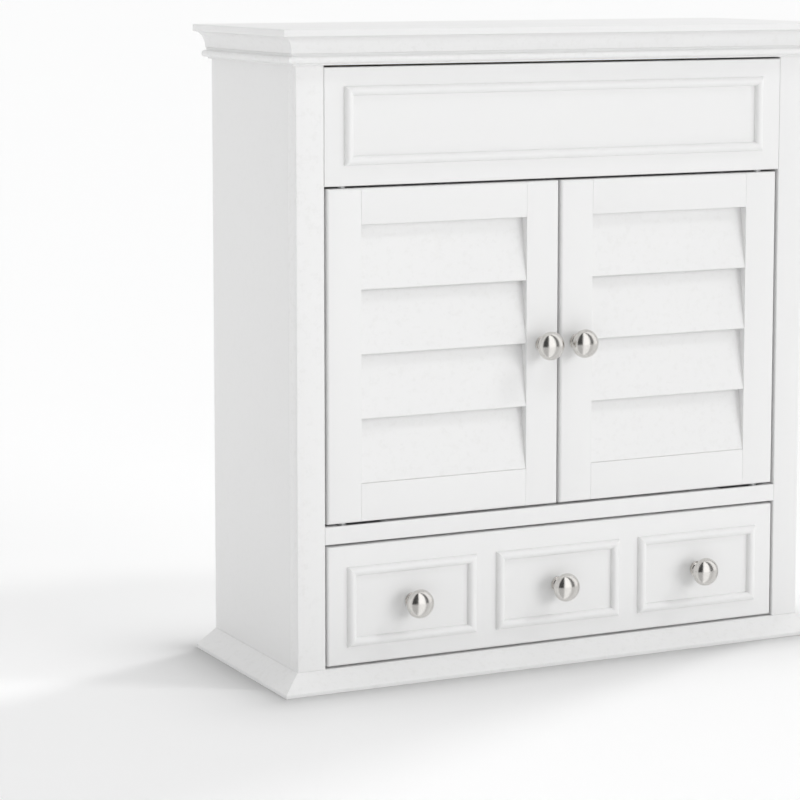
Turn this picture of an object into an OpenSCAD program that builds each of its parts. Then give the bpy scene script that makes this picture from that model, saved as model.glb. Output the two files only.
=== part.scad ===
// Small wall cabinet in white painted wood: two louvred doors over one wide drawer.
// X runs to the right, +Y points into the wall and +Z is up.
// The origin is the centre of the underside.

/* [Body] */
// Width of the box without its mouldings
body_w = 560; // [480:1:700]
// Depth of the box from its face to the wall
body_d = 202; // [170:1:260]
// Height of the box between the base and the crown
body_h = 571; // [480:1:700]
// Thickness of the side panels
side_t = 15; // [12:0.5:18]
// Thickness of the face frame, doors and drawer front
frame_t = 18; // [16:0.5:22]
// Width of the two face frame stiles
stile_w = 29; // [26:0.5:45]
// Height of the rail between doors and drawer
mid_rail_h = 17; // [14:0.5:26]
// Thickness of the back panel
back_t = 6; // [4:0.5:9]
// Thickness of the board inside the top
top_inner_t = 14; // [10:0.5:18]

/* [Base] */
// Height of the base
base_h = 18; // [15:0.5:28]
// How far the base stands out from the box
base_out = 21; // [12:0.5:30]
// Height of the square edge under the base's slope
base_edge = 3.5; // [2:0.5:6]

/* [Crown] */
// Height of the crown moulding under the top board
crown_h = 27; // [22:0.5:40]
// How far the crown moulding stands out
crown_out = 18.7; // [15:0.1:28]
// Thickness of the top board
top_t = 7; // [5:0.5:12]
// How far the top board stands out
top_out = 20; // [16:0.5:32]
// Radius of the bead along the crown
crown_bead_r = 3.3; // [2:0.1:3.6]

/* [Fixed panel above the doors] */
// Height from the doors' opening to the crown
fascia_zone = 113; // [90:1:150]
// Open line above the fixed panel
fascia_gap = 2; // [1:0.25:4]
// Margin from the panel's sides to its bead
fascia_margin_x = 20.5; // [14:0.5:40]
// Margin from the panel's bottom to its bead
fascia_margin_low = 19.3; // [14:0.1:30]
// Margin from the panel's top to its bead
fascia_margin_high = 17.7; // [12:0.1:30]
// Width of the half-round bead around every panel
bead_w = 9; // [6:0.5:11]

/* [Doors] */
// Open line beside and between the doors
door_gap = 3; // [2.5:0.25:4]
// Open line over and under the doors
door_end_gap = 2.2; // [1.8:0.1:4]
// Width of a door's stiles
door_stile_w = 35; // [32:0.5:45]
// Height of a door's top rail
door_top_h = 34.3; // [26:0.1:50]
// Height of a door's bottom rail
door_low_h = 36.8; // [28:0.1:50]
// Number of slats in each door
slat_n = 4; // [3:1:8]
// Thickness of a slat, measured level
slat_t = 6.5; // [5:0.5:7]
// How deep a slat's top lies behind the door's face
slat_recess = 10; // [7:0.5:10.5]
// How deep a slat's foot lies behind the door's face
slat_lip = 0.5; // [0.5:0.1:2]
// How far a slat reaches up behind the next one
slat_overlap = 7; // [4:0.5:8]

/* [Drawer] */
// Height of the drawer's opening
drawer_zone = 119.5; // [100:0.5:150]
// Open line at the drawer front's sides and top
drawer_gap = 2.4; // [2:0.1:4]
// Open line under the drawer front
drawer_foot_gap = 2; // [1.5:0.25:3]
// Thickness of the drawer's sides and back
drawer_wall = 12; // [9:0.5:15]
// Thickness of the drawer's bottom
drawer_floor = 5; // [4:0.5:8]
// Height of the drawer's sides over its bottom
drawer_side_h = 82; // [60:1:92]
// Length of the drawer box behind its front
drawer_box_d = 160; // [125:1:165]
// Number of beaded panels on the drawer front
panel_n = 3; // [2:1:4]
// Width between two beaded panels
panel_space = 22.2; // [16:0.1:30]
// Margin from the drawer's opening to the outer panels
panel_margin_x = 22.6; // [18:0.1:30]
// Margin from the front's bottom to the beads
panel_margin_low = 17.3; // [14:0.1:22]
// Margin from the front's top to the beads
panel_margin_high = 20.6; // [14:0.1:22]

/* [Inside] */
// Thickness of the board under the door compartment
divider_t = 12; // [9:0.5:16]
// Thickness of the shelf
shelf_t = 12; // [9:0.5:18]
// Height of the shelf's underside over the divider
shelf_up = 148; // [110:1:170]
// How far the shelf stays behind the face, clear of the doors' back corners
shelf_back = 38; // [34:1:60]
// Diameter of a shelf pin
pin_d = 5; // [4:0.5:7]
// Height between two rows of shelf pin holes
pin_pitch = 32; // [25:1:40]
// Height of the hanging rail
hang_h = 60; // [45:1:80]
// Thickness of the hanging rail
hang_t = 18; // [15:0.5:21]
// Distance between the two wall screw holes
hang_pitch = 406.4; // [300:0.1:420]
// Diameter of the wall screw holes
hang_hole_d = 5.5; // [4.5:0.5:7]

/* [Hardware] */
// Distance from a door's edge to its pivot
pivot_in = 18; // [15:0.5:22]
// Diameter of a pivot pin
pivot_d = 5; // [4:0.5:6]
// Radial clearance of a pivot pin in its bush
pivot_play = 0.05; // [0.02:0.01:0.1]
// Outer diameter of a pivot bush
bush_d = 8; // [7.5:0.5:10]
// Length of a pivot bush
bush_l = 12; // [10:0.5:16]
// Thickness of a pivot plate
plate_t = 1.8; // [1.5:0.1:2]
// Length of a pivot plate
plate_l = 46; // [40:1:60]
// Width of a pivot plate
plate_w = 12; // [11:0.5:14]
// Diameter of the knobs' heads
knob_d = 28; // [24:0.5:32]
// How far the knobs stand out
knob_out = 27; // [25:0.5:32]
// Diameter of the knobs' feet
knob_foot_d = 15.5; // [13:0.5:18]
// Diameter of the knob screws
knob_screw_d = 4; // [3:0.5:5]
// Width of the double magnetic catch
catch_w = 56; // [50:1:70]
// Height of the magnetic catch
catch_h = 14; // [12:0.5:18]

/* [Hidden] */
$fn = 48;
eps = 0.01;
// Open line between parts of different bodies that never touch
clear = 0.3;
// Free play between the drawer box and its guides
slide_play = 0.5;
drawer_side_gap = 2;
guide_h = 24;
guide_l = 150;
strip_t = 3;
shelf_play = 1;
pin_l = 18;
pin_inset = 22;
pin_rows = 3;
screw_d = 3;
screw_head_d = 5.6;
screw_head_h = 1.4;
screw_l = 12;
boss_play = 0.1;
pin_spare = 2;
knob_screw_head_d = 9;
knob_screw_head_h = 2.2;
knob_thread = 12;
catch_d = 14;
catch_foot = 3;
catch_slot = 16;
catch_screw_pitch = 7;
strike_w = 18;
strike_t = 1.2;
strike_screw_drop = 5;
stop_w = 40;
stop_d = 12;
stop_drop = 22;
stop_bite = 10;
mitre_line = 0.05;

half_w = body_w / 2;
wall_y = (body_d + base_out) / 2;
face_y = wall_y - body_d;
frame_y = face_y + frame_t;
back_y = wall_y - back_t;
inner_x = half_w - side_t;
open_x = half_w - stile_w;
crown_z = base_h + body_h;
top_z = crown_z + crown_h;
rail_z = base_h + drawer_zone;
door_z = rail_z + mid_rail_h;
fascia_z = crown_z - fascia_zone;
divider_z = door_z - divider_t;
ceiling_z = top_z - top_inner_t;

door_x = open_x - door_gap;
meet_x = door_gap / 2;
door_low_z = door_z + door_end_gap;
door_top_z = fascia_z - door_end_gap;
door_mid_z = (door_z + fascia_z) / 2;
slat_low_z = door_low_z + door_low_h;
slat_top_z = door_top_z - door_top_h;
slat_pitch = (slat_top_z - slat_low_z) / slat_n;
slat_slope = (slat_recess - slat_lip) / slat_pitch;
pivot_x = door_x - pivot_in;
pivot_y = face_y + frame_t / 2;
boss_t = door_end_gap - boss_play;
boss_d = pivot_d + 4;
pin_reach = bush_l - pin_spare;

front_low_z = base_h + drawer_foot_gap;
front_top_z = rail_z - drawer_gap;
front_x = open_x - drawer_gap;
box_x = open_x - drawer_side_gap;
box_low_z = base_h + strip_t;
box_back_y = frame_y + drawer_box_d;
panel_w = (2 * (open_x - panel_margin_x) - (panel_n - 1) * panel_space) / panel_n;
panel_h = front_top_z - front_low_z - panel_margin_low - panel_margin_high;
panel_mid_z = front_low_z + panel_margin_low + panel_h / 2;
function panel_x(i) = (i - (panel_n - 1) / 2) * (panel_w + panel_space);

catch_y = frame_y + strike_t + clear;
shelf_z = door_z + shelf_up;
shelf_y = [face_y + shelf_back, back_y];
pin_y = [shelf_y[0] + pin_inset, shelf_y[1] - pin_inset];
hang_z = ceiling_z - hang_h;

wood = "whitesmoke";
raw = "burlywood";
metal = "silver";

// A square board between a low and a high value on each axis
module board(x, y, z) {
    translate([x[0], y[0], z[0]])
        cube([x[1] - x[0], y[1] - y[0], z[1] - z[0]]);
}

// The same shape on the other side of the cabinet
module other_side() {
    mirror([1, 0, 0]) children();
}

// Points of an outline turned to face the front
function forward(points) = [for (p = points) [-p[0], p[1]]];

// ---- Mouldings ----

// Base outline as [out, up]
base_outline = [[0, 0], [base_out, 0], [base_out, base_edge], [0, base_h]];

// Crown outline as [out, up]: fillet, bead, quirk, then a cove to the top board
fillet_out = 4;
fillet_h = 1.9;
bead_out = 7.4;
bead_z = fillet_h + crown_bead_r;
quirk_out = 5.6;
cove_low = [6.6, bead_z + crown_bead_r + 3];
cove_steps = 10;
crown_outline = concat(
    [[0, 0], [fillet_out, 0], [fillet_out, fillet_h]],
    [for (a = [-90:15:90]) [bead_out + crown_bead_r * cos(a), bead_z + crown_bead_r * sin(a)]],
    [[quirk_out, bead_z + crown_bead_r], [quirk_out, cove_low[1] - 1]],
    [for (i = [0:cove_steps]) let (a = 90 * i / cove_steps)
        [crown_out - (crown_out - cove_low[0]) * cos(a),
         cove_low[1] + (crown_h - cove_low[1]) * sin(a)]],
    [[0, crown_h]]
);

// A moulding along the front, mitred at both corners
module moulding_front(points, out, z) {
    translate([0, face_y, z])
    intersection() {
        translate([-half_w - out, 0, 0]) rotate([90, 0, 90])
            linear_extrude(2 * (half_w + out)) polygon(forward(points));
        linear_extrude(body_h)
            polygon([[-half_w, 0], [half_w, 0], [half_w + out, -out], [-half_w - out, -out]]);
    }
}

// A moulding along the right side, mitred at the front corner
module moulding_right(points, out, z) {
    translate([half_w, wall_y, z])
    intersection() {
        rotate([90, 0, 0]) linear_extrude(body_d + out) polygon(points);
        linear_extrude(body_h)
            polygon([[0, 0], [out, 0], [out, -body_d - out], [0, -body_d]]);
    }
}

module base_front() { color(wood) moulding_front(base_outline, base_out, 0); }
module base_right() { color(wood) moulding_right(base_outline, base_out, 0); }
module base_left() { other_side() base_right(); }
module crown_front() { color(wood) moulding_front(crown_outline, crown_out, crown_z); }
module crown_right() { color(wood) moulding_right(crown_outline, crown_out, crown_z); }
module crown_left() { other_side() crown_right(); }

// One mitred half-round strip, centred on the lower edge of its panel
module bead_strip(length) {
    end = length / 2 - mitre_line;
    intersection() {
        translate([-length / 2, 0, bead_w / 2]) rotate([90, 0, 90])
            linear_extrude(length) intersection() {
                circle(d = bead_w);
                translate([-bead_w, -bead_w]) square([bead_w, 2 * bead_w]);
            }
        translate([0, 1, 0]) rotate([90, 0, 0]) linear_extrude(bead_w)
            polygon([
                [-end, 0], [end, 0], [end - bead_w, bead_w], [bead_w - end, bead_w]
            ]);
    }
}

// Four strips round a panel of w by h
module bead_frame(w, h) {
    for (m = [0, 1])
        mirror([0, 0, m]) translate([0, 0, -h / 2]) bead_strip(w);
    for (m = [0, 1])
        mirror([m, 0, 0]) rotate([0, 90, 0]) translate([0, 0, -w / 2]) bead_strip(h);
}

// ---- Fasteners ----

// A countersunk wood screw, head up, with the top of its head at the origin
module wood_screw() {
    translate([0, 0, -screw_head_h]) cylinder(h = screw_head_h, d1 = screw_d, d2 = screw_head_d);
    translate([0, 0, -screw_l]) cylinder(h = screw_l - screw_head_h, d = screw_d);
}

// A knob screw along Y from the back of a front of the given thickness
module knob_screw(t) {
    translate([0, t, 0]) rotate([90, 0, 0]) {
        cylinder(h = t + knob_thread, d = knob_screw_d);
        translate([0, 0, -knob_screw_head_h])
            cylinder(h = knob_screw_head_h, d = knob_screw_head_d);
    }
}

// Places of the screws in a right-hand pivot plate, counted from the pivot
plate_end = plate_w / 2;
plate_screws = [for (i = [1, 2]) -i * (plate_l - plate_end - screw_head_d) / 2];

// The four screws of the right-hand pivot plates
module right_plate_screws() {
    for (s = plate_screws) {
        translate([pivot_x + s, pivot_y, door_z]) wood_screw();
        translate([pivot_x + s, pivot_y, fascia_z]) rotate([180, 0, 0]) wood_screw();
    }
}

module plate_screws_all() {
    right_plate_screws();
    other_side() right_plate_screws();
}

// The two screws that hold the catch to the divider
module catch_screws() {
    for (x = [-0.5, 0.5])
        translate([x * catch_screw_pitch, catch_y + catch_d / 2, door_z + catch_foot])
            wood_screw();
}

module frame_screws() {
    color(metal) {
        plate_screws_all();
        catch_screws();
    }
}

// ---- Carcass ----

// Holes for the shelf pins in the right side
module pin_holes() {
    for (row = [-(pin_rows - 1) / 2:(pin_rows - 1) / 2])
        for (y = pin_y)
            translate([inner_x, y, shelf_z - pin_d / 2 + row * pin_pitch]) rotate([0, 90, 0])
                cylinder(h = pin_l / 2, d = pin_d);
}

module right_side() {
    color(wood) difference() {
        board([inner_x, half_w], [frame_y, wall_y], [base_h, top_z]);
        pin_holes();
    }
}
module left_side() { other_side() right_side(); }

module bottom_panel() {
    color(wood) board([-half_w, half_w], [face_y, wall_y], [0, base_h]);
}

module right_stile() {
    color(wood) board([open_x, half_w], [face_y, frame_y], [base_h, top_z]);
}
module left_stile() { other_side() right_stile(); }

module mid_rail() {
    color(wood) difference() {
        board([-open_x, open_x], [face_y, frame_y], [rail_z, door_z]);
        plate_beds();
        plate_screws_all();
    }
}

module head_rail() {
    color(wood) board([-open_x, open_x], [face_y, frame_y], [crown_z, top_z]);
}

module fascia_panel() {
    color(wood) difference() {
        board([-open_x, open_x], [face_y, frame_y], [fascia_z, crown_z - fascia_gap]);
        plate_beds();
        plate_screws_all();
    }
}

fascia_bead_w = 2 * (open_x - fascia_margin_x);
fascia_bead_h = fascia_zone - fascia_gap - fascia_margin_low - fascia_margin_high;
module fascia_bead() {
    color(wood) translate([0, face_y, fascia_z + fascia_margin_low + fascia_bead_h / 2])
        bead_frame(fascia_bead_w, fascia_bead_h);
}

module top_inner() {
    color(wood) board([-inner_x, inner_x], [frame_y, wall_y], [ceiling_z, top_z]);
}

module top_board() {
    color(wood) board([-half_w - top_out, half_w + top_out], [face_y - top_out, wall_y],
                      [top_z, top_z + top_t]);
}

// Two holes for the wall screws, through the rail and the back
module wall_holes() {
    for (x = [-0.5, 0.5])
        translate([x * hang_pitch, wall_y + eps, hang_z + hang_h / 2]) rotate([90, 0, 0])
            cylinder(h = back_t + hang_t + 2 * eps, d = hang_hole_d);
}

module back_panel() {
    color(wood) difference() {
        board([-inner_x, inner_x], [back_y, wall_y], [base_h, ceiling_z]);
        wall_holes();
    }
}

module hanging_rail() {
    color(raw) difference() {
        board([-inner_x, inner_x], [back_y - hang_t, back_y], [hang_z, ceiling_z]);
        wall_holes();
    }
}

module divider_board() {
    color(wood) difference() {
        board([-inner_x, inner_x], [frame_y, back_y], [divider_z, door_z]);
        catch_screws();
    }
}

// ---- Inside ----

module shelf() {
    color(wood) board([shelf_play - inner_x, inner_x - shelf_play],
                      [shelf_y[0], shelf_y[1] - shelf_play], [shelf_z, shelf_z + shelf_t]);
}

module right_pins() {
    for (y = pin_y)
        translate([inner_x - pin_l / 2, y, shelf_z - pin_d / 2]) rotate([0, 90, 0])
            cylinder(h = pin_l, d = pin_d);
}
module shelf_pins() {
    color(metal) {
        right_pins();
        other_side() right_pins();
    }
}

// The block beside the drawer and the strip under its side
module right_guide() {
    guide_x = box_x + slide_play;
    guide_y = [frame_y, frame_y + guide_l];
    board([guide_x + clear, inner_x], guide_y, [base_h, base_h + guide_h]);
    board([box_x - drawer_wall, guide_x], guide_y, [base_h, box_low_z]);
}
module drawer_guides() {
    color(raw) {
        right_guide();
        other_side() right_guide();
    }
}

module drawer_stop() {
    color(raw) board([-stop_w / 2, stop_w / 2], [frame_y, frame_y + stop_d],
                     [divider_z - stop_drop, divider_z]);
}

module door_catch() {
    color("gray") difference() {
        board([-catch_w / 2, catch_w / 2], [catch_y, catch_y + catch_d],
              [door_z, door_z + catch_h]);
        translate([-catch_slot / 2, catch_y - eps, door_z + catch_foot])
            cube([catch_slot, catch_d + 2 * eps, catch_h]);
        catch_screws();
    }
}

// ---- Pivots ----

// A plate that lies flush in the wood, from the pivot at the origin towards the middle
module plate_bed() {
    translate([plate_end - plate_l, -plate_w / 2, -plate_t]) cube([plate_l, plate_w, plate_t]);
}

// Children at the foot and, turned over, at the head of the right-hand door's opening
module at_right_pivots() {
    translate([pivot_x, pivot_y, door_z]) children();
    translate([pivot_x, pivot_y, fascia_z]) mirror([0, 0, 1]) children();
}

module plate_beds() {
    at_right_pivots() plate_bed();
    other_side() at_right_pivots() plate_bed();
}

// A plate with its collar and its pin pointing up
module pivot() {
    difference() {
        plate_bed();
        for (s = plate_screws)
            translate([s, 0, 0]) wood_screw();
    }
    cylinder(h = boss_t, d = boss_d);
    cylinder(h = door_end_gap + pin_reach, d = pivot_d);
}
module pivot_plates() {
    color(metal) {
        at_right_pivots() pivot();
        other_side() at_right_pivots() pivot();
    }
}

// The bush at the origin, going up into a door
module bush_bore() {
    cylinder(h = bush_l, d = bush_d);
}
module bush() {
    difference() {
        bush_bore();
        translate([0, 0, -eps]) cylinder(h = bush_l + 2 * eps, r = pivot_d / 2 + pivot_play);
    }
}

// Children at the foot and, turned over, at the head of the right-hand door's pivot line
module at_door_pivots() {
    translate([pivot_x, pivot_y, door_low_z]) children();
    translate([pivot_x, pivot_y, door_top_z]) mirror([0, 0, 1]) children();
}

// ---- Doors, drawn for the right-hand side ----

door_knob_x = meet_x + door_stile_w / 2;

module door_hinge_stile() {
    color(wood) difference() {
        board([door_x - door_stile_w, door_x], [face_y, frame_y], [door_low_z, door_top_z]);
        at_door_pivots() bush_bore();
    }
}

module door_meeting_stile() {
    color(wood) difference() {
        board([meet_x, meet_x + door_stile_w], [face_y, frame_y], [door_low_z, door_top_z]);
        door_screws();
    }
}

slat_x = [meet_x + door_stile_w, door_x - door_stile_w];

module door_top_rail() {
    color(wood) board(slat_x, [face_y, frame_y], [slat_top_z, door_top_z]);
}

module door_low_rail() {
    color(wood) board(slat_x, [face_y, frame_y], [door_low_z, slat_low_z]);
}

// Slats are counted from the top, and the first has nothing above it to reach behind
module door_slat(i) {
    z = slat_top_z - i * slat_pitch;
    up = i == 1 ? slat_pitch : slat_pitch + slat_overlap;
    back = slat_lip + slat_slope * up;
    color(wood) translate([slat_x[0], face_y, z]) rotate([90, 0, 90])
        linear_extrude(slat_x[1] - slat_x[0])
            polygon([[slat_lip, 0], [slat_lip + slat_t, 0], [back + slat_t, up], [back, up]]);
}

module door_bushes() {
    color("ivory") at_door_pivots() bush();
}

// The strike lies in front of its magnet, with a screw through it
strike_x = (catch_w + catch_slot) / 4;
strike_z = door_z + catch_h - strike_screw_drop;
module strike_screw() {
    translate([strike_x, frame_y + strike_t, strike_z]) rotate([-90, 0, 0]) wood_screw();
}

module door_strike() {
    color(metal) difference() {
        board([strike_x - strike_w / 2, strike_x + strike_w / 2],
              [frame_y, frame_y + strike_t], [door_low_z, door_z + catch_h]);
        strike_screw();
    }
}

module door_screws() {
    color(metal) {
        strike_screw();
        translate([door_knob_x, face_y, door_mid_z]) knob_screw(frame_t);
    }
}

// ---- Knobs ----

// Outline of a knob as [radius, out]: foot, ringed neck, flared underside, then a dome
knob_r = knob_d / 2;
knob_foot = knob_foot_d / 2;
knob_neck = 4.8;
knob_ring = 0.8;
rings_out = [5.4, 7.6];
flare_low = [6.2, 9.4];
rim_out = knob_out * 0.63;
rim_edge = 1.2;
ring_steps = 4;
dome_steps = 12;
knob_outline = concat(
    [
        [0, 0], [knob_foot, 0], [knob_foot, 1.4], [knob_foot - 1, 2.2],
        [knob_foot - 2.2, 2.6], [knob_neck, 4.2]
    ],
    [for (ring = rings_out, i = [0:ring_steps]) let (a = 180 * i / ring_steps - 90)
        [knob_neck + knob_ring * cos(a), ring + knob_ring * sin(a)]],
    [[knob_neck, flare_low[1] - 0.6], flare_low, [knob_r - rim_edge, rim_out - rim_edge]],
    [for (i = [0:dome_steps]) let (a = 90 * i / dome_steps)
        [knob_r * cos(a), rim_out + (knob_out - rim_out) * sin(a)]]
);

module knob() {
    rotate([90, 0, 0]) difference() {
        rotate_extrude() polygon(knob_outline);
        translate([0, 0, -eps]) cylinder(h = knob_thread + eps, d = knob_screw_d);
    }
}

module door_knob() {
    color(metal) translate([door_knob_x, face_y, door_mid_z]) knob();
}

// ---- Drawer ----

// Children at the middle of every beaded panel
module at_panels() {
    for (i = [0:panel_n - 1])
        translate([panel_x(i), face_y, panel_mid_z]) children();
}

module drawer_front() {
    color(wood) difference() {
        board([-front_x, front_x], [face_y, frame_y], [front_low_z, front_top_z]);
        at_panels() knob_screw(frame_t);
    }
}

module drawer_beads() {
    color(wood) at_panels() bead_frame(panel_w, panel_h);
}

box_floor_z = box_low_z + drawer_floor;
module drawer_right_side() {
    color(raw) board([box_x - drawer_wall, box_x], [frame_y, box_back_y],
                     [box_floor_z, box_floor_z + drawer_side_h]);
}
module drawer_left_side() { other_side() drawer_right_side(); }

module drawer_back() {
    color(raw) board([drawer_wall - box_x, box_x - drawer_wall],
                     [box_back_y - drawer_wall, box_back_y],
                     [box_floor_z, divider_z - stop_drop + stop_bite]);
}

module drawer_bottom() {
    color(raw) board([-box_x, box_x], [frame_y, box_back_y], [box_low_z, box_floor_z]);
}

module drawer_knobs() {
    color(metal) at_panels() knob();
}

module drawer_screws() {
    color(metal) at_panels() knob_screw(frame_t);
}

// ---- Assembly ----

left_side();
right_side();
bottom_panel();
base_front();
base_left();
base_right();
left_stile();
right_stile();
mid_rail();
head_rail();
fascia_panel();
fascia_bead();
crown_front();
crown_left();
crown_right();
top_inner();
top_board();
back_panel();
hanging_rail();
divider_board();
shelf();
shelf_pins();
drawer_guides();
drawer_stop();
door_catch();
pivot_plates();
frame_screws();
other_side() door_hinge_stile();  // left_hinge_stile
other_side() door_meeting_stile();  // left_meeting_stile
other_side() door_top_rail();  // left_top_rail
other_side() door_low_rail();  // left_low_rail
other_side() door_slat(1);  // left_slat_1
other_side() door_slat(2);  // left_slat_2
other_side() door_slat(3);  // left_slat_3
other_side() door_slat(4);  // left_slat_4
other_side() door_knob();  // left_knob
other_side() door_bushes();  // left_bushes
other_side() door_strike();  // left_strike
other_side() door_screws();  // left_screws
door_hinge_stile();  // right_hinge_stile
door_meeting_stile();  // right_meeting_stile
door_top_rail();  // right_top_rail
door_low_rail();  // right_low_rail
door_slat(1);  // right_slat_1
door_slat(2);  // right_slat_2
door_slat(3);  // right_slat_3
door_slat(4);  // right_slat_4
door_knob();  // right_knob
door_bushes();  // right_bushes
door_strike();  // right_strike
door_screws();  // right_screws
drawer_front();
drawer_beads();
drawer_left_side();
drawer_right_side();
drawer_back();
drawer_bottom();
drawer_knobs();
drawer_screws();
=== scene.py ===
import math
import bpy
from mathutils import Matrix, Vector


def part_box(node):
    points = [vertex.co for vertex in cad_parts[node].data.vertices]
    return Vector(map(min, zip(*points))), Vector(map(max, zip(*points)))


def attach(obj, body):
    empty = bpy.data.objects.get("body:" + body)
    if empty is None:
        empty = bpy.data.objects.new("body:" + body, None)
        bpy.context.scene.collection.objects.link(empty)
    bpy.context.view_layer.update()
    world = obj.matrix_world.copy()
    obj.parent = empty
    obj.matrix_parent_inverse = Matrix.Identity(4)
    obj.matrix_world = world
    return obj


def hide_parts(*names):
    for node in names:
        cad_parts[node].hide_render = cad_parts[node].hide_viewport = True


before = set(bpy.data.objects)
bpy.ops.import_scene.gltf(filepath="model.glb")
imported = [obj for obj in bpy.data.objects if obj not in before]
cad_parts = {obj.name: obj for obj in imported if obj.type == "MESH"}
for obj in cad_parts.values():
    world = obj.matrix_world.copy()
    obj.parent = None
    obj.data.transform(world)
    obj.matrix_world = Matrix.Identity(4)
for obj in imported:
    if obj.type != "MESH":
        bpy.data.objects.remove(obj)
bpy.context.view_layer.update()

mm = 0.001


def middleOf(node):
    low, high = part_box(node)
    return (low + high) / 2


# A socket that can be added, multiplied and so on, each time with a Math node.
class Wire:
    def __init__(self, finish, socket):
        self.finish = finish
        self.socket = socket

    def of(self, name):
        return Wire(self.finish, self.socket.node.outputs[name])

    def math(self, operation, first, second=0.0):
        return self.finish.node("ShaderNodeMath", {"operation": operation}, {0: first, 1: second})

    def __add__(self, other):
        return self.math("ADD", self, other)

    def __radd__(self, other):
        return self.math("ADD", other, self)

    def __sub__(self, other):
        return self.math("SUBTRACT", self, other)

    def __rsub__(self, other):
        return self.math("SUBTRACT", other, self)

    def __mul__(self, other):
        return self.math("MULTIPLY", self, other)

    def __rmul__(self, other):
        return self.math("MULTIPLY", other, self)


# The nodes of one material, or of the world.
class Finish:
    def __init__(self, owner):
        self.owner = owner
        self.owner.use_nodes = True
        self.tree = self.owner.node_tree
        self.tree.nodes.clear()

    def node(self, kind, settings=None, sockets=None):
        made = self.tree.nodes.new(kind)
        for key, value in (settings or {}).items():
            if key == "stops":
                self.stops(made.color_ramp, value)
            else:
                setattr(made, key, value)
        for key, value in (sockets or {}).items():
            if isinstance(value, Wire):
                self.tree.links.new(value.socket, made.inputs[key])
            else:
                made.inputs[key].default_value = value
        return Wire(self, made.outputs[0] if made.outputs else None)

    def vector(self, operation, *values):
        return self.node("ShaderNodeVectorMath", {"operation": operation}, dict(enumerate(values)))

    def stops(self, ramp, values):
        while len(ramp.elements) < len(values):
            ramp.elements.new(1.0)
        for element, (place, colour) in zip(ramp.elements, values):
            element.position = place
            element.color = colour

    def places(self, scale=(1, 1, 1)):
        spot = self.node("ShaderNodeTexCoord").of("Object")
        return self.node("ShaderNodeMapping", {}, {"Vector": spot, "Scale": scale})

    def noise(self, spot, scale, detail=4.0, rough=0.5):
        return self.node("ShaderNodeTexNoise", {}, {
            "Vector": spot, "Scale": scale, "Detail": detail, "Roughness": rough})

    def ramp(self, value, stops, mode="LINEAR"):
        made = self.node("ShaderNodeValToRGB", {"stops": stops}, {"Fac": value})
        made.socket.node.color_ramp.interpolation = mode
        return made

    def mix(self, share, first, second, kind="MIX"):
        made = self.node("ShaderNodeMix", {"data_type": "RGBA", "blend_type": kind}, {})
        inputs = made.socket.node.inputs
        for key, value in ((0, share), (6, first), (7, second)):
            if isinstance(value, Wire):
                self.tree.links.new(value.socket, inputs[key])
            else:
                inputs[key].default_value = value
        return Wire(self, made.socket.node.outputs[2])

    def bump(self, height, strength, depth):
        return self.node("ShaderNodeBump", {}, {
            "Height": height, "Strength": strength, "Distance": depth})

    def surface(self, sockets):
        shader = self.node("ShaderNodeBsdfPrincipled", {}, sockets)
        self.node("ShaderNodeOutputMaterial", {}, {"Surface": shader})
        return self.owner


def grey(value):
    return (value, value, value, 1.0)


# Satin paint on board: a faint roller texture, a slow unevenness and softly worn edges.
paintLook = {"light": (0.838, 0.838, 0.836, 1), "dark": (0.822, 0.822, 0.820, 1),
             "edge": (0.77, 0.768, 0.76, 1), "rough": 0.42, "roughSpread": 0.10,
             "slowScale": 7.0, "rollerScale": 620.0, "fineScale": 2600.0, "wearScale": 160.0,
             "relief": 0.13, "reliefDepth": 0.00012}


def whitePaint(name="satinWhitePaint", look=paintLook):
    paint = Finish(bpy.data.materials.new(name))
    spot = paint.places()
    slow = paint.noise(spot, look["slowScale"], 3.0)
    roller = paint.noise(spot, look["rollerScale"], 3.0, 0.55)
    fine = paint.noise(spot, look["fineScale"], 2.0)
    bent = paint.node("ShaderNodeNewGeometry").of("Pointiness")
    edge = paint.ramp(bent, [(0.52, grey(0)), (0.60, grey(1))])
    wear = paint.noise(spot, look["wearScale"], 5.0, 0.65)
    worn = edge * paint.ramp(wear, [(0.52, grey(0)), (0.66, grey(1))])
    colour = paint.mix(slow, look["dark"], look["light"])
    colour = paint.mix(worn * 0.5, colour, look["edge"])
    rough = look["rough"] + (slow - 0.5) * look["roughSpread"] + (roller - 0.5) * 0.08 + worn * 0.10
    height = roller * 0.8 + fine * 0.2 + slow * 2.0
    return paint.surface({"Base Color": colour, "Roughness": rough,
                          "Normal": paint.bump(height, look["relief"], look["reliefDepth"])})


# Sealed pine, with its grain along one axis.
woodLook = {"pale": (0.62, 0.46, 0.28, 1), "warm": (0.52, 0.36, 0.20, 1), "late": (0.36, 0.22, 0.11, 1),
            "acrossGrain": 14.0, "acrossPores": 40.0, "ringScale": 2.4, "poreScale": 34.0,
            "rough": 0.46, "relief": 0.25, "reliefDepth": 0.0003}


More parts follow.
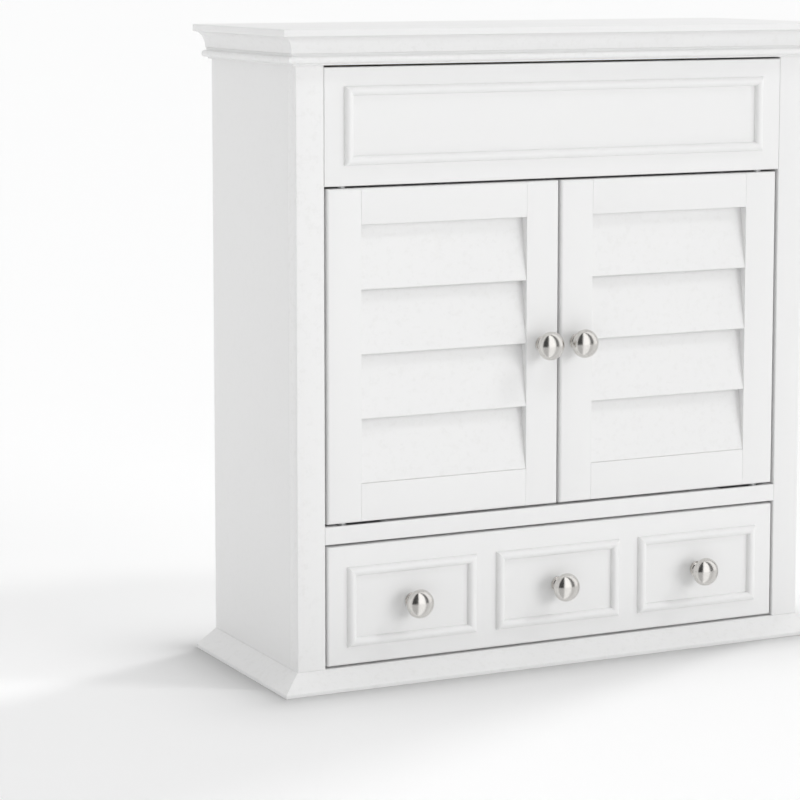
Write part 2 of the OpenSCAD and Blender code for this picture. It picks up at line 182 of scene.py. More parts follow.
def pine(name, along, look=woodLook):
    wood = Finish(bpy.data.materials.new(name))
    spot = wood.places(tuple(1.0 if axis == along else look["acrossGrain"] for axis in "XYZ"))
    thin = wood.places(tuple(1.0 if axis == along else look["acrossPores"] for axis in "XYZ"))
    drift = wood.noise(spot, 1.6, 3.0)
    rings = wood.node("ShaderNodeTexWave", {"wave_type": "BANDS", "bands_direction": "DIAGONAL"}, {
        "Vector": spot, "Scale": look["ringScale"], "Distortion": 9.0, "Detail": 3.0,
        "Detail Scale": 1.4})
    pores = wood.noise(thin, look["poreScale"], 4.0)
    band = wood.ramp(rings, [(0.0, look["pale"]), (0.62, look["warm"]), (0.95, look["late"])])
    colour = wood.mix(drift * 0.45, band, look["pale"])
    openPores = wood.ramp(pores, [(0.60, grey(0)), (0.72, grey(1))])
    colour = wood.mix(openPores * 0.35, colour, look["late"])
    height = pores * 0.7 + rings * 0.3
    return wood.surface({"Base Color": colour, "Roughness": look["rough"] + pores * 0.14 - drift * 0.06,
                         "Normal": wood.bump(height, look["relief"], look["reliefDepth"])})


# Polished nickel: fine lathe rings in the knob's own attribute, and a little haze.
nickelLook = {"dull": (0.66, 0.64, 0.615, 1), "bright": (0.74, 0.725, 0.70, 1), "rough": 0.13,
              "ringPitch": 26000.0, "hazeScale": 240.0, "smearScale": 60.0,
              "relief": 0.10, "reliefDepth": 0.00005}


def nickel(name="polishedNickel", look=nickelLook):
    metal = Finish(bpy.data.materials.new(name))
    spot = metal.places()
    turned = metal.node("ShaderNodeAttribute", {"attribute_name": "turned"}).of("Fac")
    rings = metal.node("ShaderNodeMath", {"operation": "SINE"}, {0: turned * look["ringPitch"]})
    haze = metal.noise(spot, look["hazeScale"], 4.0, 0.6)
    smear = metal.noise(spot, look["smearScale"], 3.0)
    rough = look["rough"] + smear * 0.09 + rings * 0.015
    height = rings * 0.4 + haze * 0.6
    return metal.surface({"Base Color": metal.mix(haze, look["dull"], look["bright"]), "Metallic": 1.0,
                          "Roughness": rough,
                          "Normal": metal.bump(height, look["relief"], look["reliefDepth"])})


# Zinc plated steel: a fine spangle, duller patches and fine scratches along X.
zincLook = {"dark": (0.52, 0.53, 0.54, 1), "light": (0.68, 0.68, 0.67, 1),
            "patch": (0.42, 0.42, 0.41, 1), "rough": 0.26, "spangleScale": 700.0, "patchScale": 90.0,
            "scratchScale": 60.0, "relief": 0.15, "reliefDepth": 0.0001}


def zinc(name="zincPlate", look=zincLook):
    metal = Finish(bpy.data.materials.new(name))
    spot = metal.places()
    spangle = metal.node("ShaderNodeTexVoronoi", {}, {"Vector": spot, "Scale": look["spangleScale"]})
    dull = metal.noise(spot, look["patchScale"], 4.0)
    scratch = metal.noise(metal.places((1, 30, 30)), look["scratchScale"], 2.0)
    colour = metal.mix(spangle * 0.6, look["dark"], look["light"])
    colour = metal.mix(dull * 0.4, colour, look["patch"])
    return metal.surface({"Base Color": colour, "Metallic": 1.0,
                          "Roughness": look["rough"] + dull * 0.2,
                          "Normal": metal.bump(scratch, look["relief"], look["reliefDepth"])})


# Moulded plastic: a fine grain and a slightly uneven gloss.
plasticLook = {"grainScale": 1500.0, "cloudScale": 120.0, "rough": 0.42, "relief": 0.2,
               "reliefDepth": 0.00008}


def plastic(name, tone, shade, look=plasticLook):
    moulded = Finish(bpy.data.materials.new(name))
    spot = moulded.places()
    grain = moulded.noise(spot, look["grainScale"], 2.0)
    cloud = moulded.noise(spot, look["cloudScale"], 3.0)
    return moulded.surface({"Base Color": moulded.mix(cloud, tone, shade),
                            "Roughness": look["rough"] + cloud * 0.16,
                            "Normal": moulded.bump(grain, look["relief"], look["reliefDepth"])})


materials = {
    "white_paint": whitePaint(),
    "knob_metal": nickel(),
    "hardware": zinc(),
    "bush_plastic": plastic("nylon", (0.80, 0.77, 0.68, 1), (0.72, 0.69, 0.60, 1)),
    "catch_plastic": plastic("catchPlastic", (0.70, 0.70, 0.68, 1), (0.62, 0.62, 0.60, 1)),
    "bare_wood": pine("pineAlongX", "X"),
}
pineAlongY = pine("pineAlongY", "Y")
print("materials made:", len(bpy.data.materials))


def clearSelection():
    if bpy.context.mode != "OBJECT":
        bpy.ops.object.mode_set(mode="OBJECT")
    bpy.ops.object.select_all(action="DESELECT")


smoothUpTo = 32  # degrees between faces


# Smooths and names the piece, puts its finish on, hangs it on its body and hides the nodes that it stands
# for.
def settle(piece, name, nodes, body, slot, material=None):
    clearSelection()
    piece.select_set(True)
    bpy.context.view_layer.objects.active = piece
    bpy.ops.object.shade_smooth_by_angle(angle=math.radians(smoothUpTo))
    piece.name = name
    piece.data.name = name
    piece.data.materials.clear()
    piece.data.materials.append(material or materials[slot])
    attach(piece, body)
    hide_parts(*nodes)


easeSteps = 4


# A board with eased edges. A larger round goes on the edges named by their side of the board.
def easedBoard(low, high, ease, rounds=None):
    rounds = rounds or {}
    clearSelection()
    middle = (low + high) / 2
    bpy.ops.mesh.primitive_cube_add(size=1, location=middle, scale=high - low)
    piece = bpy.context.object
    bpy.ops.object.transform_apply(location=True, rotation=True, scale=True)
    widest = max([ease, *rounds.values()])
    weights = piece.data.attributes.new("bevel_weight_edge", "FLOAT", "EDGE")
    for edge in piece.data.edges:
        first, second = (piece.data.vertices[i].co for i in edge.vertices)
        offset = (first + second) / 2 - middle
        side = tuple(0 if abs(value) < 1e-6 else int(math.copysign(1, value)) for value in offset)
        weights.data[edge.index].value = rounds.get(side, ease) / widest
    edgeEase = piece.modifiers.new("edgeEase", "BEVEL")
    edgeEase.limit_method = "WEIGHT"
    edgeEase.width = widest
    edgeEase.segments = easeSteps
    bpy.ops.object.modifier_apply(modifier="edgeEase")
    return piece


# An outline drawn point by point with extrude, filled, and drawn out along its run.
def drawnOut(points, run):
    clearSelection()
    bpy.ops.mesh.primitive_plane_add(size=mm, location=points[0])
    piece = bpy.context.object
    bpy.ops.object.transform_apply(location=True, rotation=True, scale=True)
    bpy.ops.object.mode_set(mode="EDIT")
    bpy.ops.mesh.select_mode(type="VERT")
    bpy.ops.mesh.select_all(action="SELECT")
    bpy.ops.mesh.merge(type="CENTER")
    for start, end in zip(points, points[1:]):
        bpy.ops.mesh.extrude_vertices_move(TRANSFORM_OT_translate={"value": end - start})
    bpy.ops.mesh.select_all(action="SELECT")
    if run is not None:
        bpy.ops.mesh.edge_face_add()
        bpy.ops.mesh.extrude_region_move(TRANSFORM_OT_translate={"value": run})
        bpy.ops.mesh.select_all(action="SELECT")
        bpy.ops.mesh.normals_make_consistent(inside=False)
    bpy.ops.object.mode_set(mode="OBJECT")
    return piece


# Cuts the piece with a plane and closes it, dropping what the normal points at.
def mitre(piece, spot, normal):
    clearSelection()
    piece.select_set(True)
    bpy.context.view_layer.objects.active = piece
    bpy.ops.object.mode_set(mode="EDIT")
    bpy.ops.mesh.select_all(action="SELECT")
    bpy.ops.mesh.bisect(plane_co=spot, plane_no=normal, use_fill=True, clear_outer=True)
    bpy.ops.object.mode_set(mode="OBJECT")


def arc(centre, radiusOut, radiusUp, start, end, steps):
    turns = [math.radians(start + (end - start) * i / steps) for i in range(steps + 1)]
    return [(centre[0] + radiusOut * math.cos(t), centre[1] + radiusUp * math.sin(t)) for t in turns]


# Cuts a round hole that starts at a point and runs along a direction.
def bore(piece, start, run, radius, steps=40):
    clearSelection()
    bpy.ops.mesh.primitive_cylinder_add(
        vertices=steps, radius=radius, depth=run.length, location=start + run / 2,
        rotation=run.to_track_quat("Z", "Y").to_euler())
    drill = bpy.context.object
    hole = piece.modifiers.new("hole", "BOOLEAN")
    hole.object = drill
    hole.solver = "EXACT"
    bpy.context.view_layer.objects.active = piece
    bpy.ops.object.modifier_apply(modifier="hole")
    bpy.data.objects.remove(drill)


# A copy with its own mesh, moved by a vector.
def copyMoved(piece, move):
    clearSelection()
    piece.select_set(True)
    bpy.context.view_layer.objects.active = piece
    bpy.ops.object.duplicate(linked=False)
    made = bpy.context.object
    made.location = move
    bpy.ops.object.transform_apply(location=True, rotation=True, scale=True)
    return made


# The same piece on the cabinet's other side.
def copyMirrored(piece):
    made = copyMoved(piece, (0, 0, 0))
    made.scale.x = -1
    bpy.ops.object.transform_apply(location=False, rotation=False, scale=True)
    bpy.ops.object.mode_set(mode="EDIT")
    bpy.ops.mesh.select_all(action="SELECT")
    bpy.ops.mesh.normals_make_consistent(inside=False)
    bpy.ops.object.mode_set(mode="OBJECT")
    return made


def joined(pieces):
    clearSelection()
    for piece in pieces:
        piece.select_set(True)
    bpy.context.view_layer.objects.active = pieces[0]
    bpy.ops.object.join()
    return bpy.context.object


# Rounds the corners of an outline of (out, up) pairs, each by its own radius.
def softened(corners, radii, steps=5):
    points = []
    for i, (corner, radius) in enumerate(zip(corners, radii)):
        here = Vector(corner)
        if radius == 0:
            points.append(here)
            continue
        before = (Vector(corners[i - 1]) - here).normalized()
        after = (Vector(corners[(i + 1) % len(corners)]) - here).normalized()
        reach = radius / math.tan(before.angle(after) / 2)
        start, end = here + before * reach, here + after * reach
        for j in range(steps + 1):
            share = j / steps
            points.append(start * (1 - share) ** 2 + here * 2 * share * (1 - share) + end * share ** 2)
    return [tuple(point) for point in points]


carcass = {"halfWidth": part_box("right_side")[1].x, "faceY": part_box("right_stile")[0].y,
           "wallY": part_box("right_side")[1].y}
faceY = carcass["faceY"]
print("frame read:", len(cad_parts), "nodes")

view = {"place": (-1.3372, -2.4706, 0.6927), "pitch": -6.615, "turn": -26.07, "lens": 127.2,
        "sensor": 36.0, "shiftY": -0.15, "clipEnd": 200}
camera = bpy.data.objects.new("camera", bpy.data.cameras.new("camera"))
camera.location = view["place"]
camera.rotation_euler = (math.radians(90 + view["pitch"]), 0, math.radians(view["turn"]))
camera.data.lens = view["lens"]
camera.data.sensor_width = view["sensor"]
camera.data.shift_y = view["shiftY"]
camera.data.clip_end = view["clipEnd"]
bpy.context.scene.collection.objects.link(camera)
bpy.context.scene.camera = camera
bpy.context.scene.view_settings.view_transform = "Standard"

suns = {
    "frontSun": {"from": (0.62, -1.0, 0.20), "power": 1.04, "angle": 34},
    "highSun": {"from": (0.80, -0.56, 1.0), "power": 0.44, "angle": 9},
    "topSun": {"from": (-0.10, 0.05, 1.0), "power": 0.08, "angle": 30},
    "sideSun": {"from": (1.0, 0.43, 0.60), "power": 0.95, "angle": 12},
}
for name, sun in suns.items():
    lamp = bpy.data.objects.new(name, bpy.data.lights.new(name, "SUN"))
    lamp.data.energy = sun["power"]
    lamp.data.angle = math.radians(sun["angle"])
    lamp.rotation_euler = Vector(sun["from"]).to_track_quat("Z", "Y").to_euler()
    lamp.visible_glossy = False
    bpy.context.scene.collection.objects.link(lamp)

# The room's soft light: a little darker overhead and to the right, and darker towards the front.
roomLight = {"middle": 1.10, "rise": -0.10, "front": 0.62, "right": -0.12}


def roomSky():
    room = Finish(bpy.data.worlds.new("room"))
    way = room.node("ShaderNodeTexCoord").of("Generated")
    across = room.node("ShaderNodeSeparateXYZ", {}, {"Vector": way})
    ahead = across.math("MINIMUM", across.of("Y"), 0.0)
    level = across.of("Z") * roomLight["rise"] + roomLight["middle"]
    level = ahead * roomLight["front"] + level
    level = across.of("X") * roomLight["right"] + level
    glow = room.node("ShaderNodeBackground", {}, {"Strength": level})
    room.node("ShaderNodeOutputWorld", {}, {"Surface": glow})
    return room.owner


bpy.context.scene.world = roomSky()

# paintedContactShadow and paintedShadowReach are a painted contact shadow: the floor's colour is darkened
# near the base, out to paintedShadowReach metres.
floorLook = {"size": 120.0, "tone": (0.95, 0.95, 0.95, 1), "shade": (0.945, 0.945, 0.945, 1),
             "paintedContactShadow": [(0.0, grey(0.56)), (0.12, grey(0.80)), (0.30, grey(0.92)),
                           (0.60, grey(0.98)), (1.0, grey(1.0))],
             "paintedShadowReach": 0.17, "rough": 0.95}


# A pale floor with a contact shadow painted into its colour beside the cabinet's base, fading with
# distance from the base's outline.
def floorFinish():
    floor = Finish(bpy.data.materials.new("paleFloor"))
    spot = floor.places()
    patch = floor.noise(spot, 3.0, 2.0)
    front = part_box("base_front")[0].y
    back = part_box("base_left")[1].y
    middle = (0.0, (front + back) / 2, 0.0)
    half = (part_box("base_front")[1].x, (back - front) / 2, 0.0)
    apart = floor.vector("SUBTRACT", spot, middle)
    beyond = floor.vector("SUBTRACT", floor.vector("ABSOLUTE", apart), half)
    run = floor.vector("LENGTH", floor.vector("MAXIMUM", beyond, (0.0, 0.0, 0.0))).of("Value")
    # Painted contact shadow: a darkening factor by distance from the base's outline, multiplied into the
    # floor's colour.
    share = floor.ramp(run * (1 / floorLook["paintedShadowReach"]), floorLook["paintedContactShadow"], "B_SPLINE")
    colour = floor.mix(patch, floorLook["shade"], floorLook["tone"])
    return floor.surface({"Base Color": floor.mix(1.0, colour, share, "MULTIPLY"),
                          "Roughness": floorLook["rough"]})


clearSelection()
bpy.ops.mesh.primitive_plane_add(size=floorLook["size"], location=(0, 0, 0))
floor = bpy.context.object
floor.name = "floor"
floor.data.materials.append(floorFinish())
floor.visible_glossy = False  # polished metal sees the low cards instead

# Upright studio cards in front of the cabinet, seen only in polished metal.
# Each spans two bearings, counted to the right of straight ahead, and has
# one glow above the floor and one below it.
cards = {
    "leftFlag": {"from": -62, "to": -16, "glow": (0.06, 0.62)},
    "softCard": {"from": -15, "to": 29, "glow": (1.42, 1.18)},
    "narrowFlag": {"from": 30, "to": 52, "glow": (0.20, 0.74)},
    "whiteCard": {"from": 53, "to": 90, "glow": (1.15, 0.86)},
    "rightFlag": {"from": 91, "to": 126, "glow": (0.08, 0.40)},
}
cardRing = {"distance": 2.6, "height": 16.0, "weave": 0.92}


def cardFinish(name, glow):
    card = Finish(bpy.data.materials.new(name))
    cloth = card.noise(card.places(), 6.0, 2.0)
    tone = card.mix(cloth, grey(glow), grey(glow * cardRing["weave"]))
    return card.surface({"Base Color": grey(0.0), "Roughness": 1.0, "Emission Color": tone,
                         "Emission Strength": 1.0})


def studioCard(name, card, side, glow):
    clearSelection()
    bearing = math.radians((card["from"] + card["to"]) / 2)
    half = math.radians((card["to"] - card["from"]) / 2)
    distance = cardRing["distance"]
    place = (distance * math.sin(bearing), -distance * math.cos(bearing), side * cardRing["height"] / 2)
    bpy.ops.mesh.primitive_plane_add(size=1, location=place, rotation=(math.pi / 2, 0, bearing))
    flag = bpy.context.object
    flag.scale = (2 * distance * math.tan(half), cardRing["height"], 1)
    flag.name = name
    flag.data.materials.append(cardFinish(name, glow))
    flag.visible_camera = False
    flag.visible_diffuse = False
    flag.visible_shadow = False
    flag.visible_transmission = False


for name, card in cards.items():
    studioCard(name + "High", card, 1, card["glow"][0])
    studioCard(name + "Low", card, -1, card["glow"][1])
print("camera, light and floor set")

# Edge keys are (x, y, z) sides of the board: 1 high, -1 low, 0 along the edge.
frontLeft, frontRight, frontTop, frontLow = (-1, -1, 0), (1, -1, 0), (0, -1, 1), (0, -1, -1)

carcassBoards = {
    "bottom_panel": {"ease": 0.4},
    "left_stile": {"ease": 0.4, "rounds": {frontLeft: 1.2, frontRight: 1.0}},
    "right_stile": {"ease": 0.4, "rounds": {frontRight: 1.2, frontLeft: 1.0}},
    "head_rail": {"ease": 0.35},
    "top_inner": {"ease": 0.4},
    "top_board": {"ease": 0.6, "rounds": {frontTop: 1.3, frontLow: 1.0, (-1, 0, 1): 1.3, (1, 0, 1): 1.3,
                                          (-1, 0, -1): 1.0, (1, 0, -1): 1.0, frontLeft: 1.0,
                                          frontRight: 1.0}},
    "divider_board": {"ease": 0.4},
    "shelf": {"ease": 0.5, "rounds": {frontTop: 1.5, frontLow: 1.5}},
}


def boardFor(node, ease, rounds=None):
    low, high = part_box(node)
    inMetres = {side: radius * mm for side, radius in (rounds or {}).items()}
    return easedBoard(low, high, ease * mm, inMetres)


for node, sizes in carcassBoards.items():
    settle(boardFor(node, **sizes), node + "_skin", [node], "cabinet", "white_paint")

railParts = {"ease": 0.35, "round": 1.0, "fasciaRound": 1.6, "fasciaJoint": 0.25,
             "plate": {"length": 46, "end": 6, "width": 12, "thick": 1.8}}


# Cuts the beds of the two flush pivot plates into a rail's edge.
def cutPlateBeds(rail, edgeUp, inward):
    plate = {key: value * mm for key, value in railParts["plate"].items()}
    pin = middleOf("right_bushes")
    for side in (-1, 1):
        middle = Vector((side * (pin.x + plate["end"] - plate["length"] / 2), pin.y,
                         edgeUp + inward * plate["thick"] / 2))
        clearSelection()
        bpy.ops.mesh.primitive_cube_add(size=1, location=middle,
                                        scale=(plate["length"], plate["width"], plate["thick"]))
        chisel = bpy.context.object
        bed = rail.modifiers.new("bed", "BOOLEAN")
        bed.object = chisel
        bed.solver = "EXACT"
        bpy.context.view_layer.objects.active = rail
        bpy.ops.object.modifier_apply(modifier="bed")
        bpy.data.objects.remove(chisel)


def doorRails():
    ease, edge = railParts["ease"], railParts["round"]
    low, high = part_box("mid_rail")
    rail = boardFor("mid_rail", ease, {frontTop: edge, frontLow: edge})
    cutPlateBeds(rail, high.z, -1)
    settle(rail, "mid_rail_skin", ["mid_rail"], "cabinet", "white_paint")
    low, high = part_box("fascia_panel")
    joint = Vector((railParts["fasciaJoint"] * mm, 0, 0))
    edge = railParts["fasciaRound"] * mm
    fascia = easedBoard(low + joint, high - joint, ease * mm, {frontTop: edge, frontLow: edge})
    cutPlateBeds(fascia, low.z, 1)
    settle(fascia, "fascia_panel_skin", ["fascia_panel"], "cabinet", "white_paint")


doorRails()

sidePanel = {"ease": 0.5, "pinHoleRadius": 2.5, "pinHoleDepth": 9, "pinPitch": 32, "pinRows": 3}


def sidePanels():
    low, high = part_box("right_side")
    pinLow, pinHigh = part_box("shelf_pins")
    panel = boardFor("right_side", sidePanel["ease"])
    radius = sidePanel["pinHoleRadius"] * mm
    pinUp = (pinLow.z + pinHigh.z) / 2
    for row in range(sidePanel["pinRows"]):
        rise = (row - (sidePanel["pinRows"] - 1) / 2) * sidePanel["pinPitch"] * mm
        for y in (pinLow.y + radius, pinHigh.y - radius):
            start = Vector((low.x - mm, y, pinUp + rise))
            bore(panel, start, Vector(((sidePanel["pinHoleDepth"] + 1) * mm, 0, 0)), radius)
    other = copyMirrored(panel)
    settle(panel, "right_side_skin", ["right_side"], "cabinet", "white_paint")
    settle(other, "left_side_skin", ["left_side"], "cabinet", "white_paint")


sidePanels()

backParts = {"ease": 0.5, "railRound": 2.0, "holeRadius": 2.75, "holePitch": 406.4, "drill": 60}


def backPieces():
    railMiddle = middleOf("hanging_rail")
    back = boardFor("back_panel", backParts["ease"])
    rail = boardFor("hanging_rail", backParts["ease"], {frontLow: backParts["railRound"]})
    drill = Vector((0, backParts["drill"] * mm, 0))
    for piece in (back, rail):
        for side in (-0.5, 0.5):
            start = Vector((side * backParts["holePitch"] * mm, railMiddle.y, railMiddle.z)) - drill / 2
            bore(piece, start, drill, backParts["holeRadius"] * mm)
    settle(back, "back_panel_skin", ["back_panel"], "cabinet", "white_paint")
    settle(rail, "hanging_rail_skin", ["hanging_rail"], "cabinet", "bare_wood")


backPieces()


# A moulding that runs along the front, mitred at both corners.
def frontMoulding(outline, reach, low):
    half = carcass["halfWidth"]
    points = [Vector((-half - reach, faceY - out, low + up)) for out, up in outline]
    piece = drawnOut(points, Vector((2 * (half + reach), 0, 0)))
    for side in (-1, 1):
        mitre(piece, (side * half, faceY, low), (side, 1, 0))
    return piece


# The moulding along the right side, mitred at its front corner.
def sideMoulding(outline, reach, low):
    half, wall = carcass["halfWidth"], carcass["wallY"]
    points = [Vector((half + out, wall, low + up)) for out, up in outline]
    piece = drawnOut(points, Vector((0, faceY - wall - reach, 0)))
    mitre(piece, (half, faceY, low), (-1, -1, 0))
    return piece


def mouldingSet(stem, outline, reach, low):
    front = frontMoulding(outline, reach, low)
    right = sideMoulding(outline, reach, low)
    for part, piece in (("front", front), ("right", right), ("left", copyMirrored(right))):
        node = f"{stem}_{part}"
        settle(piece, node + "_skin", [node], "cabinet", "white_paint")


baseShape = {"out": 21, "edge": 3.5, "height": 18, "edgeSoft": 0.6, "soft": 0.9}


def baseOutline():
    corners = [(0, 0), (baseShape["out"], 0), (baseShape["out"], baseShape["edge"]),
               (0, baseShape["height"])]
    shape = softened(corners, [0, baseShape["edgeSoft"], baseShape["soft"], 0])
    return [(out * mm, up * mm) for out, up in shape]


mouldingSet("base", baseOutline(), baseShape["out"] * mm, 0)

crownShape = {"fillet": (4, 1.9), "chamfer": 0.4, "beadOut": 7.4, "beadRadius": 3.3,
              "quirkOut": 5.6, "quirkHeight": 2, "coveOut": 6.6, "coveUp": 3, "out": 18.7, "height": 27,
              "steps": 16}


def crownOutline():
    shape = crownShape
    filletOut, filletUp = shape["fillet"]
    radius, chamfer = shape["beadRadius"], shape["chamfer"]
    beadUp = filletUp + radius
    beadTop = beadUp + radius
    coveUp = beadTop + shape["coveUp"]
    outline = [(0, 0), (filletOut - chamfer, 0), (filletOut, chamfer), (filletOut, filletUp)]
    outline += arc((shape["beadOut"], beadUp), radius, radius, -90, 90, shape["steps"])
    outline += [(shape["quirkOut"], beadTop), (shape["quirkOut"], beadTop + shape["quirkHeight"])]
    outline += arc((shape["out"], coveUp), shape["coveOut"] - shape["out"], shape["height"] - coveUp,
                   0, 90, shape["steps"])
    outline.append((0, shape["height"]))
    return [(out * mm, up * mm) for out, up in outline]


mouldingSet("crown", crownOutline(), crownShape["out"] * mm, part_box("crown_front")[0].z)
print("carcass made")

beadShape = {"width": 9.0, "steps": 18}


# One half-round strip from a corner of its panel, mitred at both ends.
def beadStrip(start, along, inward, length):
    radius = beadShape["width"] * mm / 2
    points = [start + inward * (radius + out) + Vector((0, -up, 0))
              for out, up in arc((0, 0), -radius, radius, 0, 180, beadShape["steps"])]
    strip = drawnOut(points, along * length)
    mitre(strip, start, inward - along)
    mitre(strip, start + along * length, inward + along)
    return strip


def beadFrame(low, high):
    right, up = Vector((1, 0, 0)), Vector((0, 0, 1))
    corners = [(Vector((low.x, faceY, low.z)), right, up, high.x - low.x),
               (Vector((low.x, faceY, high.z)), right, -up, high.x - low.x),
               (Vector((low.x, faceY, low.z)), up, right, high.z - low.z),
               (Vector((high.x, faceY, low.z)), up, -right, high.z - low.z)]
    return joined([beadStrip(*corner) for corner in corners])


settle(beadFrame(*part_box("fascia_bead")), "fascia_bead_skin", ["fascia_bead"], "cabinet", "white_paint")

drawerPanels = {"count": 3, "space": 22.2}


def drawerBeads():
    low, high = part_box("drawer_beads")
    space = drawerPanels["space"] * mm
    width = (high.x - low.x - (drawerPanels["count"] - 1) * space) / drawerPanels["count"]
    first = beadFrame(low, Vector((low.x + width, high.y, high.z)))
    copies = [copyMoved(first, (i * (width + space), 0, 0)) for i in range(1, drawerPanels["count"])]
    settle(joined([first, *copies]), "drawer_beads_skin", ["drawer_beads"], "drawer", "white_paint")


drawerBeads()
print("beads made")

doorParts = {"corner": 2.6, "joint": 0.3, "inner": 0.5, "back": 1.0, "bushRadius": 4, "bushLength": 12}


# The right-hand door's piece and its mirrored copy for the left-hand door.
def bothDoors(piece, part):
    other = copyMirrored(piece)
    settle(piece, f"right_{part}_skin", ["right_" + part], "right_door", "white_paint")
    settle(other, f"left_{part}_skin", ["left_" + part], "left_door", "white_paint")


def doorFrames():
    corner, joint, inner, back = (doorParts[key] for key in ("corner", "joint", "inner", "back"))
    ends = {frontTop: corner, frontLow: corner, (0, 1, 1): back, (0, 1, -1): back}
    hinge = boardFor("right_hinge_stile", joint, {**ends, frontRight: corner, (1, 1, 0): back,
                                                  frontLeft: inner})
    low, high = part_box("right_hinge_stile")
    pin = middleOf("right_bushes")
    length = doorParts["bushLength"] * mm
    for end, turn in ((low.z, 1), (high.z, -1)):
        start = Vector((pin.x, pin.y, end - turn * mm))
        bore(hinge, start, Vector((0, 0, turn * (length + mm))), doorParts["bushRadius"] * mm)
    bothDoors(hinge, "hinge_stile")
    bothDoors(boardFor("right_meeting_stile", joint, {**ends, frontLeft: corner, (-1, 1, 0): back,
                                                      frontRight: inner}), "meeting_stile")
    bothDoors(boardFor("right_top_rail", joint, {frontTop: corner, (0, 1, 1): back, frontLow: inner}),
              "top_rail")
    bothDoors(boardFor("right_low_rail", joint, {frontLow: corner, (0, 1, -1): back, frontTop: inner}),
              "low_rail")


doorFrames()

slatShape = {"thickness": 6.5, "footSoft": (1.1, 1.6), "topSoft": (0.6, 0.6)}


# A leaning slat whose foot stands forward of its top.
def slat(node):
    low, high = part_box(node)
    thick = slatShape["thickness"] * mm
    lean = high.y - low.y - thick
    corners = [(0, low.z), (thick, low.z), (thick + lean, high.z), (lean, high.z)]
    radii = [radius * mm for radius in (*slatShape["footSoft"], *slatShape["topSoft"])]
    shape = softened(corners, radii)
    points = [Vector((low.x, low.y + back, up)) for back, up in shape]
    return drawnOut(points, Vector((high.x - low.x, 0, 0)))


def slats():
    bothDoors(slat("right_slat_1"), "slat_1")
    second = slat("right_slat_2")
    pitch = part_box("right_slat_3")[0].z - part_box("right_slat_2")[0].z
    others = [copyMoved(second, (0, 0, i * pitch)) for i in (1, 2)]
    for piece, part in zip([second, *others], ("slat_2", "slat_3", "slat_4")):
        bothDoors(piece, part)


slats()
print("doors made")

drawerBoards = {
    "drawer_left_side": {"ease": 0.5, "rounds": {(1, 0, 1): 2.0, (-1, 0, 1): 2.0}},
    "drawer_right_side": {"ease": 0.5, "rounds": {(1, 0, 1): 2.0, (-1, 0, 1): 2.0}},
    "drawer_back": {"ease": 0.5, "rounds": {frontTop: 2.0, (0, 1, 1): 2.0}},
    "drawer_bottom": {"ease": 0.4},
}
drawerFront = {"ease": 0.6, "corner": 2.4}


def drawerBody():
    corner = drawerFront["corner"]
    front = boardFor("drawer_front", drawerFront["ease"], {
        frontLeft: corner, frontRight: corner, frontTop: corner, frontLow: corner})
    settle(front, "drawer_front_skin", ["drawer_front"], "drawer", "white_paint")
    for node, sizes in drawerBoards.items():
        grain = pineAlongY if "side" in node else None
        settle(boardFor(node, **sizes), node + "_skin", [node], "drawer", "bare_wood", grain)


drawerBody()

guideShape = {"ease": 0.5, "play": 0.5, "clear": 0.3}


def drawerGuides():
    low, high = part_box("drawer_guides")
    sideLow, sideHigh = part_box("drawer_right_side")
    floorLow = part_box("drawer_bottom")[0].z
    play, clear = guideShape["play"] * mm, guideShape["clear"] * mm
    block = easedBoard(Vector((sideHigh.x + play + clear, low.y, low.z)), high, guideShape["ease"] * mm)
    strip = easedBoard(Vector((sideLow.x, low.y, low.z)),
                       Vector((sideHigh.x + play, high.y, floorLow)), guideShape["ease"] * mm)
    pieces = [block, strip, copyMirrored(block), copyMirrored(strip)]
    settle(joined(pieces), "drawer_guides_skin", ["drawer_guides"], "cabinet", "bare_wood", pineAlongY)


drawerGuides()

stopEase = 0.8
settle(boardFor("drawer_stop", stopEase), "drawer_stop_skin", ["drawer_stop"], "cabinet", "bare_wood")
print("drawer made")

knobShape = {"footRadius": 7.75, "footEdge": (0.6, 0.8), "footTop": (6.45, 1.6), "stepTop": (6.25, 2.1),
             "neckRadius": 4.8, "throatOut": (2.3, 4.4), "throatRadius": 5.95, "throatCurve": 2.2,
             "ringRadius": 0.8, "rings": (5.4, 7.6), "flareLow": 8.8, "flareCurve": (1.15, 0.9),
             "rimEdge": 1.2, "rimShare": 0.63, "turns": 80, "weld": 0.02}


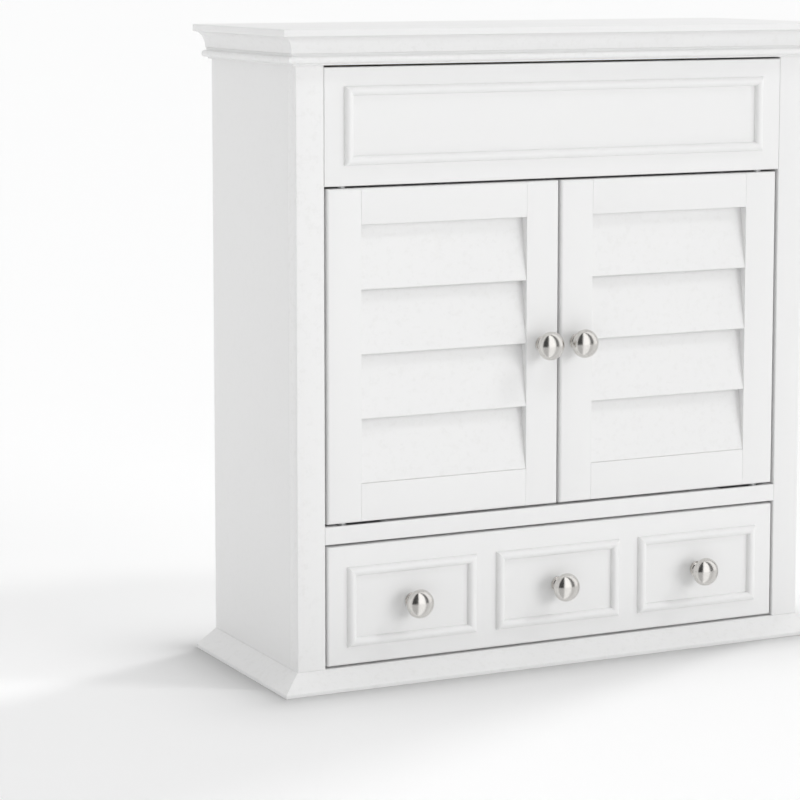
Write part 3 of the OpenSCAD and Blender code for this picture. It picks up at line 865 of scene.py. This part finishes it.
# Knob outline as (radius, out): foot, ringed neck, flared underside and domed head.
def knobOutline(head, out):
    shape = knobShape
    foot, neck, ring = shape["footRadius"], shape["neckRadius"], shape["ringRadius"]
    corner, cornerUp = shape["footEdge"]
    edge, low = shape["rimEdge"], shape["flareLow"]
    rim = out * shape["rimShare"]
    outline = [(0, 0), (foot - corner / 2, 0), (foot, corner / 2)]
    outline += arc((foot - corner, cornerUp), corner, corner, 0, 90, 4)
    outline += [shape["footTop"], shape["stepTop"]]
    throatLow, throatHigh = shape["throatOut"]
    for i in range(6):
        wide = (1 - i / 5) ** shape["throatCurve"]
        outline.append((neck + (shape["throatRadius"] - neck) * wide,
                        throatLow + (throatHigh - throatLow) * i / 5))
    for up in shape["rings"]:
        outline += arc((neck, up), ring, ring, -90, 90, 8)
    widen, climb = shape["flareCurve"]
    for i in range(8):
        outline.append((neck + (head - edge - neck) * (i / 8) ** widen,
                        low + (rim - edge - low) * (i / 8) ** climb))
    outline += arc((head - edge, rim), edge, edge, -75, -5, 5)
    outline += arc((0, rim), head, out - rim, 0, 90, 26)
    return outline


def knobAt(spot, head, reach):
    points = [spot + Vector((radius * mm, -out * mm, 0)) for radius, out in knobOutline(head, reach)]
    piece = drawnOut(points, None)
    bpy.ops.object.mode_set(mode="EDIT")
    bpy.ops.mesh.spin(steps=knobShape["turns"], angle=math.tau, center=spot, axis=(0, 1, 0))
    bpy.ops.mesh.select_all(action="SELECT")
    bpy.ops.mesh.remove_doubles(threshold=knobShape["weld"] * mm)
    bpy.ops.mesh.normals_make_consistent(inside=False)
    bpy.ops.object.mode_set(mode="OBJECT")
    turned = piece.data.attributes.new("turned", "FLOAT", "POINT")
    for vertex in piece.data.vertices:
        turned.data[vertex.index].value = (vertex.co.xz - spot.xz).length
    return piece


def knobs():
    low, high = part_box("right_knob")
    spot = Vector(((low.x + high.x) / 2, faceY, (low.z + high.z) / 2))
    right = knobAt(spot, (high.x - low.x) / mm / 2, (high.y - low.y) / mm)
    panelLow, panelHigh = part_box("drawer_beads")
    space = drawerPanels["space"] * mm
    step = (panelHigh.x - panelLow.x + space) / drawerPanels["count"]
    panelUp = (panelLow.z + panelHigh.z) / 2
    row = [copyMoved(right, (i * step - spot.x, 0, panelUp - spot.z)) for i in (-1, 0, 1)]
    left = copyMoved(right, (-2 * spot.x, 0, 0))
    settle(right, "right_knob_skin", ["right_knob"], "right_door", "knob_metal")
    settle(left, "left_knob_skin", ["left_knob"], "left_door", "knob_metal")
    settle(joined(row), "drawer_knobs_skin", ["drawer_knobs"], "drawer", "knob_metal")


knobs()
print("knobs made")

hardware = {
    "hardware": ["shelf_pins", "pivot_plates", "frame_screws", "left_strike", "right_strike",
                 "left_screws", "right_screws", "drawer_screws"],
    "bush_plastic": ["left_bushes", "right_bushes"],
    "catch_plastic": ["door_catch"],
}
# These nodes keep their own meshes and only take a finish.
for slot, nodes in hardware.items():
    for node in nodes:
        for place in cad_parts[node].material_slots:
            place.material = materials[slot]
print("hardware finished")
